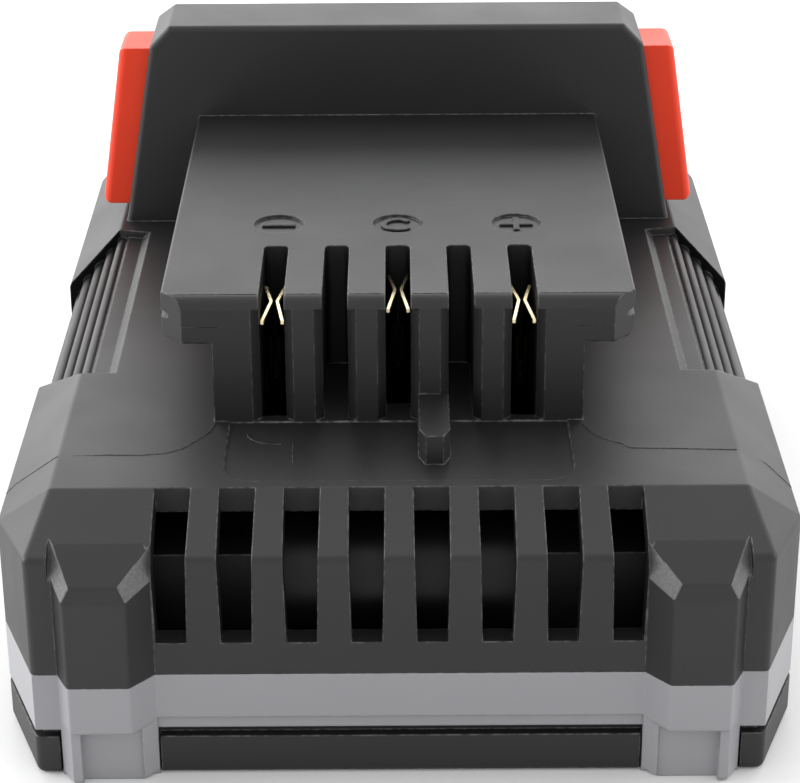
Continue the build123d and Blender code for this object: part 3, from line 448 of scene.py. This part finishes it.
@dataclass(frozen=True)
class DarkBelowMetal(SheetMetal):
    """Sheet metal drawn in its own colour above a set height, and darker below it."""

    dark_colour: str = "#14110C"
    bright_above_mm: float = 36.5
    dark_below_mm: float = 35.9

    def tint(self, tree: Tree, place: Socket, cloud: Socket) -> Socket:
        """Mixes bright, dull and dark metal by height.

        Args:
            tree: Node tree that takes the nodes.
            place: Coordinates of the piece.
            cloud: Share of dull metal.

        Returns:
            The colour.
        """
        # The metal is drawn darker towards the bottom, below a set height.
        height = add_node(tree, "ShaderNodeSeparateXYZ", {0: place}).outputs["Z"]
        upper_share = add_node(
            tree,
            "ShaderNodeMapRange",
            {"Value": height, "From Min": self.dark_below_mm * MM, "From Max": self.bright_above_mm * MM},
        )
        node = add_node(
            tree,
            "ShaderNodeMix",
            {
                0: upper_share.outputs[0],
                MIX_A: linear(self.dark_colour),
                MIX_B: super().tint(tree, place, cloud),
            },
            data_type="RGBA",
        )
        return node.outputs[MIX_RESULT]


# Glass-filled nylon, moulded black: satin and almost without colour, so it mostly shows the light
# around it. Knocks have paled its edges, and the slanted chamfers of its front bumpers carry a painted
# highlight.
BLACK_NYLON = ChamferHighlightPlastic(
    "black_nylon_moulded",
    "#121214",
    "#161618",
    roughness=0.51,
    roughness_spread=0.03,
    # This pale colour serves both the worn edges and the chamfers' painted highlight.
    pale_colour="#98989A",
    wear_share=0.6,
)
# ABS, moulded light grey: the satin band between the shells.
GREY_ABS = MouldedPlastic(
    "grey_abs_moulded",
    "#A6A6AA",
    "#ACACB0",
    roughness=0.42,
    ior=1.5,
    pale_colour="#D0D0D4",
    grain_height_mm=0.003,
)
# ABS, moulded orange red: a smoother skin than the shells.
RED_ABS = MouldedPlastic(
    "red_abs_moulded",
    "#FF3C12",
    "#FF4218",
    roughness=0.5,
    ior=1.5,
    pale_colour="#F7A898",
    grain_height_mm=0.002,
)
# Nylon, moulded black: dull, so the cell holder stays dark behind the grille.
HOLDER_NYLON = MouldedPlastic("holder_nylon_moulded", "#0E0E10", "#141416", roughness=0.55)
# ABS, moulded dark grey: the charge button, smoother and paler than the shell around it.
BUTTON_ABS = MouldedPlastic("button_abs_moulded", "#303032", "#38383A", roughness=0.38)
# Epoxy, moulded black: the dull bodies of chips, switch and temperature sensor.
EPOXY = MouldedPlastic("epoxy_moulded", "#141414", "#1C1C1C", roughness=0.55)
# PVC, extruded pale grey: the satin sleeve of the ribbon cable.
RIBBON_PVC = MouldedPlastic("ribbon_pvc_extruded", "#A8A8A0", "#B4B4AC", roughness=0.45)
# Fish paper, pressed: matt grey-green, with fibres that are too fine to show and drawn coarser.
FIBRE_PAPER = MouldedPlastic("fish_paper_pressed", "#8F9C84", "#9AA78E", roughness=0.7, grain_mm=0.4)
# Solder mask, coated over laminate: smooth dark green with a soft shine.
SOLDER_MASK = MouldedPlastic(
    "solder_mask_coated", "#122C1C", "#173824", roughness=0.35, grain_height_mm=0.001
)
# PVC, drawn tight on the cells: smooth black with a clear highlight.
SHRINK_SLEEVE = MouldedPlastic(
    "shrink_sleeve_drawn", "#0C0C0E", "#121214", roughness=0.4, grain_height_mm=0.001
)
# Epoxy, cast pale green: the glossy lenses of the charge lamps.
LED_EPOXY = MouldedPlastic(
    "led_epoxy_cast", "#9CD89C", "#A8E0A8", roughness=0.15, grain_height_mm=0.0005
)
# Polycarbonate, moulded milky: unlit grey-green bars in the charge window.
LIGHT_GUIDE = MouldedPlastic(
    "light_guide_moulded", "#7E8880", "#8A948C", roughness=0.3, grain_height_mm=0.001
)
# Polycarbonate, smoked and polished: a window that is near black, with a sharp reflection.
SMOKED_PC = MouldedPlastic(
    "smoked_polycarbonate_polished",
    "#101012",
    "#131315",
    roughness=0.1,
    roughness_spread=0.02,
    ior=1.58,
    grain_height_mm=0.0003,
)
# Phosphor bronze, stamped: pale gold above a set height, and drawn darker below it.
BRASS = DarkBelowMetal("phosphor_bronze_stamped", "#F4E8C4", "#E4CF98", roughness=0.25)
# Nickel, rolled to strip: a soft warm shine, streaked along the strip.
NICKEL = SheetMetal("nickel_strip_rolled", "#C8C5BC", "#B4B1A8", roughness=0.3)
# Spring steel, drawn to wire: a cool grey shine with fine lines.
SPRING_WIRE = SheetMetal("spring_steel_drawn", "#B0B0B2", "#9A9A9C", roughness=0.3)
# Steel, plated with zinc: the darker and duller grey of screws.
ZINC = SheetMetal("zinc_plated_steel", "#8E8E92", "#77777C", roughness=0.35)

FINISHES: dict[str, MouldedPlastic | SheetMetal] = {
    "black_housing": BLACK_NYLON,
    "grey_frame": GREY_ABS,
    "red_button": RED_ABS,
    "spring_steel": SPRING_WIRE,
    "screw_steel": ZINC,
    "holder_plastic": HOLDER_NYLON,
    "insulating_sheet": FIBRE_PAPER,
    "board_laminate": SOLDER_MASK,
    "chip_body": EPOXY,
    "ribbon_sleeve": RIBBON_PVC,
    "window_plastic": SMOKED_PC,
    "led_lens": LED_EPOXY,
    "button_plastic": BUTTON_ABS,
    "contact_brass": BRASS,
    "cell_sleeve": SHRINK_SLEEVE,
    "nickel_strip": NICKEL,
}


def select_only(obj: Object) -> None:
    """Deselects everything else and makes the object active.

    Args:
        obj: Object to select.
    """
    bpy.ops.object.select_all(action="DESELECT")
    obj.select_set(True)
    bpy.context.view_layer.objects.active = obj


def pick_faces(obj: Object, test: Callable[[bpy.types.MeshPolygon], bool]) -> None:
    """Selects faces of an object for the next edit.

    Args:
        obj: Object in object mode.
        test: Says which faces are meant.
    """
    for part in (obj.data.vertices, obj.data.edges):
        for element in part:
            element.select = False
    for face in obj.data.polygons:
        face.select = test(face)


def edit(obj: Object, operate: Callable[[], object]) -> None:
    """Runs an edit-mode operator on the picked faces.

    Args:
        obj: Object to edit, which is the active one.
        operate: Calls the operator.
    """
    bpy.ops.object.mode_set(mode="EDIT")
    bpy.ops.mesh.select_mode(type="FACE")
    operate()
    bpy.ops.object.mode_set(mode="OBJECT")


def extrude(obj: Object, step: Vector) -> None:
    """Draws the picked faces out by a step, in metres."""
    edit(obj, lambda: bpy.ops.mesh.extrude_region_move(TRANSFORM_OT_translate={"value": tuple(step)}))


def complete(obj: Object, slot: str, soften: float) -> None:
    """Settles a piece: places it in its mesh, softens its edges, dresses it and lets it ride.

    Args:
        obj: Modelled object.
        slot: Material slot of the record that it takes its finish from.
        soften: Width of its edge bevel, in metres.
    """
    select_only(obj)
    bpy.ops.object.transform_apply(location=True, rotation=True, scale=True)
    bevel = obj.modifiers.new("soften", "BEVEL")
    bevel.width = soften
    bevel.segments = SOFTEN_SEGMENTS
    bevel.limit_method = "ANGLE"
    bpy.ops.object.modifier_apply(modifier=bevel.name)
    bpy.ops.object.mode_set(mode="EDIT")
    bpy.ops.mesh.select_all(action="SELECT")
    bpy.ops.mesh.remove_doubles(threshold=MERGE_DISTANCE)
    bpy.ops.mesh.normals_make_consistent(inside=False)
    bpy.ops.object.mode_set(mode="OBJECT")
    bpy.ops.object.shade_smooth_by_angle(angle=SMOOTH_ANGLE)
    obj.data.materials.clear()
    obj.data.materials.append(bpy.data.materials[FINISHES[slot].name])
    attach(obj, PACK)
    LOG.info("made %s, %d faces", obj.name, len(obj.data.polygons))


def add_block(name: str, low: Vector, high: Vector) -> Object:
    """Adds a cuboid between two corners.

    Args:
        name: Name of the object.
        low: Lowest corner, in metres.
        high: Highest corner, in metres.

    Returns:
        The object, with its place in its mesh.
    """
    bpy.ops.object.select_all(action="DESELECT")
    bpy.ops.mesh.primitive_cube_add(size=1, location=(low + high) / 2)
    obj = bpy.context.active_object
    obj.name = name
    obj.scale = high - low
    bpy.ops.object.transform_apply(location=True, rotation=True, scale=True)
    return obj


def add_bead(name: str, points: list[Vector], radius: float) -> Object:
    """Draws a fine six-sided bead along points that head one way.

    Args:
        name: Name of the object.
        points: Places that the bead passes, in metres.
        radius: Half of its width, in metres.

    Returns:
        The object, closed at both ends.
    """
    heading = (points[-1] - points[0]).normalized()
    bpy.ops.object.select_all(action="DESELECT")
    bpy.ops.mesh.primitive_circle_add(
        vertices=BEAD_SIDES, radius=radius, fill_type="NGON", location=points[0]
    )
    obj = bpy.context.active_object
    obj.name = name
    obj.rotation_euler = heading.to_track_quat("Z", "Y").to_euler()
    bpy.ops.object.transform_apply(location=True, rotation=True, scale=True)
    pick_faces(obj, lambda face: True)
    for before, after in zip(points, points[1:]):
        extrude(obj, after - before)
    return obj


def extrude_middle(obj: Object, aim: Vector, distance: float, half: float, centre: Vector) -> None:
    """Draws out the side face that stands straight ahead of the centre.

    Args:
        obj: Object to edit.
        aim: Direction of the draw, of length 1.
        distance: Length of the draw, in metres.
        half: Half of the stroke's width, in metres.
        centre: Middle of the sign, in metres.
    """
    across = Vector((-aim.y, aim.x, 0))
    reach = MIDDLE_SHARE * half
    select_only(obj)
    pick_faces(
        obj,
        lambda face: face.normal.dot(aim) > SAME_WAY and abs((face.center - centre).dot(across)) < reach,
    )
    extrude(obj, aim * distance)


@dataclass
class ShellDetails:
    """Small moulded details of the upper shell, in millimetres."""

    plate_top: float = 39.7
    plate_front: float = -32.5
    plate_round: float = 1.2
    plate_half_width: float = 23.0
    slot_xs: tuple[float, ...] = (-12.4, -6.2, 0.0, 6.2, 12.4)
    slot_half_width: float = 1.45
    sign_y: float = -12.3
    recess_depth: float = 0.3
    sign_height: float = 0.27
    sign_reach: float = 1.75
    sign_soften: float = 0.05
    stroke: float = 0.62
    letter_stroke_share: float = 0.9
    letter_radius: float = 1.45
    letter_opening_degrees: float = 76.0
    letter_steps: int = 28
    deck_top: float = 26.5
    deck_half_width: float = 33.0
    side_fall: float = 4.5 / 5.5
    bead_radius: float = 0.07
    bead_soften: float = 0.01
    seam_radius: float = 0.045
    seam_soften: float = 0.008
    left_bead: Places = (
        (-18.1, -32.8),
        (-18.6, -34.9),
        (-19.7, -36.7),
        (-21.0, -38.5),
        (-22.6, -39.5),
        (-25.0, -39.9),
        (-28.2, -39.8),
        (-33.1, -40.0),
        (-37.5, -38.7),
        (-38.4, -39.3),
    )
    right_bead: Places = (
        (18.1, -33.4),
        (19.0, -35.5),
        (20.2, -37.0),
        (21.7, -37.9),
        (22.4, -38.9),
        (27.3, -39.1),
        (32.7, -39.4),
        (36.0, -37.6),
        (38.4, -38.9),
    )
    mark_arc: Places = (
        (-15.0, -34.9),
        (-14.8, -35.8),
        (-14.2, -36.6),
        (-13.4, -37.1),
        (-12.4, -37.4),
        (-11.5, -37.4),
    )
    mark_line: Places = ((-10.35, -36.8), (-10.3, -39.0), (-10.2, -41.4))
    panel_depth: float = 0.15
    nose_line_z: float = 36.7
    nose_line_xs: tuple[float, float] = (17.2, 21.2)

    def build(self) -> None:
        """Models every detail."""
        signs = {Sign.MINUS: self.slot_xs[0], Sign.CONTROL: 0.0, Sign.PLUS: self.slot_xs[-1]}
        for sign, x in signs.items():
            self.sign(sign, x)
        beads = {
            "deck_parting_line_left": (self.left_bead, 0.0),
            "deck_parting_line_right": (self.right_bead, 0.0),
            "panel_mark_arc": (self.mark_arc, self.panel_depth),
            "panel_mark_line": (self.mark_line, self.panel_depth),
        }
        for name, (places, depth) in beads.items():
            points = [Vector((x, y, self.surface_z(x) - depth)) * MM for x, y in places]
            bead = add_bead(name, points, self.bead_radius * MM)
            complete(bead, "black_housing", self.bead_soften * MM)
        self.plate_seams()
        self.nose_lines()

    def surface_z(self, x: float) -> float:
        """Level of the deck or of its side slope, in millimetres."""
        return self.deck_top - max(0.0, abs(x) - self.deck_half_width) * self.side_fall

    def sign(self, sign: Sign, x: float) -> None:
        """Raises one sign from the floor of its round recess.

        Args:
            sign: Sign to make.
            x: Middle of the recess, in millimetres.
        """
        centre = Vector((x, self.sign_y, self.plate_top - self.recess_depth)) * MM
        if sign is Sign.CONTROL:
            obj = self.letter(centre)
        else:
            half = self.stroke / 2
            low = centre - Vector((half, half, 0)) * MM
            high = centre + Vector((half, half, self.sign_height)) * MM
            obj = add_block(f"sign_{sign.value}", low, high)
            sides = [(1, 0, 0), (-1, 0, 0)]
            if sign is Sign.PLUS:
                sides += [(0, 1, 0), (0, -1, 0)]
            for side in sides:
                extrude_middle(obj, Vector(side), (self.sign_reach - half) * MM, half * MM, centre)
        complete(obj, "black_housing", self.sign_soften * MM)

    def letter(self, centre: Vector) -> Object:
        """Spins the open ring of the control sign.

        Args:
            centre: Middle of the recess's floor, in metres.

        Returns:
            The ring, open to the right.
        """
        bpy.ops.object.select_all(action="DESELECT")
        middle = centre + Vector((0, 0, self.sign_height / 2)) * MM
        start = math.radians(self.letter_opening_degrees / 2)
        offset = Vector((math.cos(start), math.sin(start), 0)) * self.letter_radius * MM
        bpy.ops.mesh.primitive_plane_add(size=1, location=middle + offset)
        obj = bpy.context.active_object
        obj.name = "sign_control"
        obj.scale = (self.stroke * self.letter_stroke_share * MM, self.sign_height * MM, 1)
        obj.rotation_euler = (math.pi / 2, 0, start)
        bpy.ops.object.transform_apply(location=True, rotation=True, scale=True)
        pick_faces(obj, lambda face: True)
        turn = math.radians(360 - self.letter_opening_degrees)
        edit(
            obj,
            lambda: bpy.ops.mesh.spin(
                steps=self.letter_steps, angle=turn, center=middle, axis=(0, 0, -1)
            ),
        )
        return obj

    def plate_seams(self) -> None:
        """Lays the fine line where the plate's round front edge begins, between the slots."""
        edges = [-self.plate_half_width]
        for x in self.slot_xs:
            edges += [x - self.slot_half_width, x + self.slot_half_width]
        edges.append(self.plate_half_width)
        y = self.plate_front + self.plate_round
        for index, ends in enumerate(zip(edges[0::2], edges[1::2])):
            points = [Vector((x, y, self.plate_top)) * MM for x in ends]
            self.seam(f"plate_seam_{index + 1}", points)

    def nose_lines(self) -> None:
        """Lays the parting line across the front faces of both rails."""
        for name, side in (("left", -1), ("right", 1)):
            points = [
                Vector((side * x, self.plate_front, self.nose_line_z)) * MM for x in self.nose_line_xs
            ]
            self.seam(f"nose_line_{name}", points)

    def seam(self, name: str, points: list[Vector]) -> None:
        """Lays one hair-thin line.

        Args:
            name: Name of the line.
            points: Its two ends, in metres.
        """
        line = add_bead(name, points, self.seam_radius * MM)
        complete(line, "black_housing", self.seam_soften * MM)


@dataclass
class IndicatorDetails:
    """Light guides in the charge window on the back slope, in millimetres."""

    count: int = 4
    pitch: float = 5.0
    first_x: float = -14.5
    length: float = 2.8
    width: float = 1.5
    root: float = 0.2
    stand: float = 0.12
    rim: float = 0.25
    dish: float = 0.05
    soften: float = 0.06
    slope_middle: Point = (0.0, 43.1, 43.0)
    slope_run: float = 20.8
    slope_drop: float = 15.0

    def build(self) -> None:
        """Models the row of light guides on the window's face."""
        up = Vector((0, self.slope_drop, self.slope_run)).normalized()
        down = Vector((0, self.slope_run, -self.slope_drop)).normalized()
        turn = Matrix((Vector((1, 0, 0)), down, up)).transposed()
        for index in range(self.count):
            x = self.first_x + index * self.pitch
            guide = add_block(
                f"light_guide_{index + 1}",
                Vector((x - self.length / 2, -self.width / 2, -self.root)) * MM,
                Vector((x + self.length / 2, self.width / 2, self.stand)) * MM,
            )
            pick_faces(guide, lambda face: face.normal.z > SAME_WAY)
            edit(guide, lambda: bpy.ops.mesh.inset(thickness=self.rim * MM, depth=-self.dish * MM))
            guide.matrix_world = Matrix.Translation(Vector(self.slope_middle) * MM) @ turn.to_4x4()
            complete(guide, "led_lens", self.soften * MM)
            guide.data.materials[0] = bpy.data.materials[LIGHT_GUIDE.name]


@dataclass
class Dressing:
    """Finishes of the pack's own pieces."""

    def build(self) -> None:
        """Gives every CAD node the finish of its material slot."""
        for finish in [*FINISHES.values(), LIGHT_GUIDE]:
            finish.material()
        slots = {row["node"]: row["material_slot"] for row in frame["record"]["subparts"]}
        for name, obj in frame["nodes"].items():
            for index in range(len(obj.data.materials)):
                obj.data.materials[index] = bpy.data.materials[FINISHES[slots[name]].name]
            LOG.info("%s takes %s", name, slots[name])


@dataclass
class ReleaseSprings:
    """Coils behind the release buttons, which in the real pack shorten as the buttons are pushed in; the
    copies keep their length.
    """

    joints: tuple[tuple[str, str], ...] = (
        ("release_spring_left", "left_release_push"),
        ("release_spring_right", "right_release_push"),
    )

    def build(self) -> None:
        """Lets a copy of each coil stand for it, and hides the CAD node."""
        for node, joint in self.joints:
            coil = bpy.data.objects.new(f"{node}_coil", frame["nodes"][node].data.copy())
            bpy.context.collection.objects.link(coil)
            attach(coil, PACK)
            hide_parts(node)
            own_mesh(coil)


@dataclass(frozen=True)
class SoftBox:
    """Soft lamp, with its middle and size in metres, and its brightness, where 1 is white."""

    name: str
    place: Point
    size: tuple[float, float]
    brightness: float

    def hang(self, aim: Point) -> None:
        """Hangs the lamp.

        Args:
            aim: Point that it faces, in metres.
        """
        bpy.ops.object.light_add(type="AREA", location=self.place)
        lamp = bpy.context.active_object
        lamp.name = self.name
        lamp.data.shape = "RECTANGLE"
        lamp.data.size, lamp.data.size_y = self.size
        # A face that shines like white paper in full light gives pi watts from each square metre.
        lamp.data.energy = self.brightness * math.pi * self.size[0] * self.size[1]
        lamp.rotation_euler = (Vector(aim) - Vector(self.place)).to_track_quat("-Z", "Y").to_euler()
        lamp.visible_camera = False


@dataclass
class Studio:
    """Pale floor, soft boxes and a white surround."""

    floor_size: float = 6.0
    floor_colour: str = "#FCFCFC"
    floor_bounce_colour: str = "#B4B4B4"
    floor_roughness: float = 0.9
    floor_ior: float = 1.3
    surround_light: float = 0.85
    surround_shown: float = 1.0
    aim: Point = (0.0, 0.0, 0.02)
    boxes: tuple[SoftBox, ...] = (
        SoftBox("rear_box", (0.0, 0.9, 0.42), (1.5, 0.7), 1.7),
        SoftBox("top_box", (0.0, 0.5, 0.85), (1.5, 1.2), 0.4),
        SoftBox("left_box", (-0.75, 0.7, 0.26), (0.7, 0.55), 2.2),
        SoftBox("right_box", (0.75, 0.7, 0.26), (0.7, 0.55), 0.8),
        SoftBox("left_side_box", (-0.95, 0.12, 0.36), (0.6, 0.45), 7.0),
        SoftBox("right_side_box", (0.95, 0.12, 0.36), (0.6, 0.45), 3.0),
    )

    def build(self) -> None:
        """Makes the floor, the surround and the lamps."""
        self.floor()
        self.surround()
        for box in self.boxes:
            box.hang(self.aim)

    def floor(self) -> None:
        """Lays paper that is white where it is seen, and that throws less light back."""
        bpy.ops.object.select_all(action="DESELECT")
        bpy.ops.mesh.primitive_plane_add(size=self.floor_size, location=(0, 0, 0))
        floor = bpy.context.active_object
        floor.name = "floor"
        material, tree = new_material("floor_paper")
        seen = seen_by(tree, ("Is Camera Ray", "Is Glossy Ray"))
        colour = add_node(
            tree,
            "ShaderNodeMix",
            {0: seen, MIX_A: linear(self.floor_bounce_colour), MIX_B: linear(self.floor_colour)},
            data_type="RGBA",
        )
        surface = add_node(
            tree,
            "ShaderNodeBsdfPrincipled",
            {
                "Base Color": colour.outputs[MIX_RESULT],
                "Roughness": self.floor_roughness,
                "IOR": self.floor_ior,
            },
        )
        add_node(tree, "ShaderNodeOutputMaterial", {"Surface": surface.outputs[0]})
        floor.data.materials.append(material)

    def surround(self) -> None:
        """Makes the world white where it is seen, and softer where it lights."""
        world = bpy.data.worlds.new("studio")
        bpy.context.scene.world = world
        world.use_nodes = True
        tree = world.node_tree
        tree.nodes.clear()
        seen = seen_by(tree, ("Is Camera Ray", "Is Glossy Ray", "Is Transmission Ray"))
        lit, shown = (
            add_node(tree, "ShaderNodeBackground", {"Color": WHITE, "Strength": strength}).outputs[0]
            for strength in (self.surround_light, self.surround_shown)
        )
        mixed = add_node(tree, "ShaderNodeMixShader", {0: seen, 1: lit, 2: shown})
        add_node(tree, "ShaderNodeOutputWorld", {"Surface": mixed.outputs[0]})


@dataclass
class PhotoCamera:
    """Camera at the photograph's viewing angle."""

    image_width: int = 800
    image_height: int = 783
    place_mm: Point = (0.0, -253.7, 132.9)
    pitch_degrees: float = 25.0
    roll_degrees: float = -0.33
    focal_pixels: float = 2468.0
    centre_pixels: tuple[float, float] = (398.5, 391.0)
    sensor_mm: float = 36.0
    nearest: float = 0.01
    farthest: float = 20.0

    def build(self) -> None:
        """Makes the camera and gives it to the scene."""
        bpy.ops.object.camera_add(location=[value * MM for value in self.place_mm])
        camera = bpy.context.active_object
        tilt = Matrix.Rotation(math.radians(90 - self.pitch_degrees), 3, "X")
        roll = Matrix.Rotation(math.radians(self.roll_degrees), 3, "Z")
        camera.rotation_euler = (tilt @ roll).to_euler()
        lens = camera.data
        lens.sensor_fit = "HORIZONTAL"
        lens.sensor_width = self.sensor_mm
        lens.lens = self.focal_pixels / self.image_width * self.sensor_mm
        lens.shift_x = (self.image_width / 2 - self.centre_pixels[0]) / self.image_width
        lens.shift_y = (self.centre_pixels[1] - self.image_height / 2) / self.image_width
        lens.clip_start = self.nearest
        lens.clip_end = self.farthest
        bpy.context.scene.camera = camera


def main() -> None:
    """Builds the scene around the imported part."""
    logging.basicConfig(level=logging.INFO, format="%(name)s: %(message)s")
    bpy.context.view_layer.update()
    Dressing().build()
    ShellDetails().build()
    IndicatorDetails().build()
    ReleaseSprings().build()
    Studio().build()
    PhotoCamera().build()
    bpy.context.scene.view_settings.view_transform = "Standard"


if __name__ == "__main__":
    main()
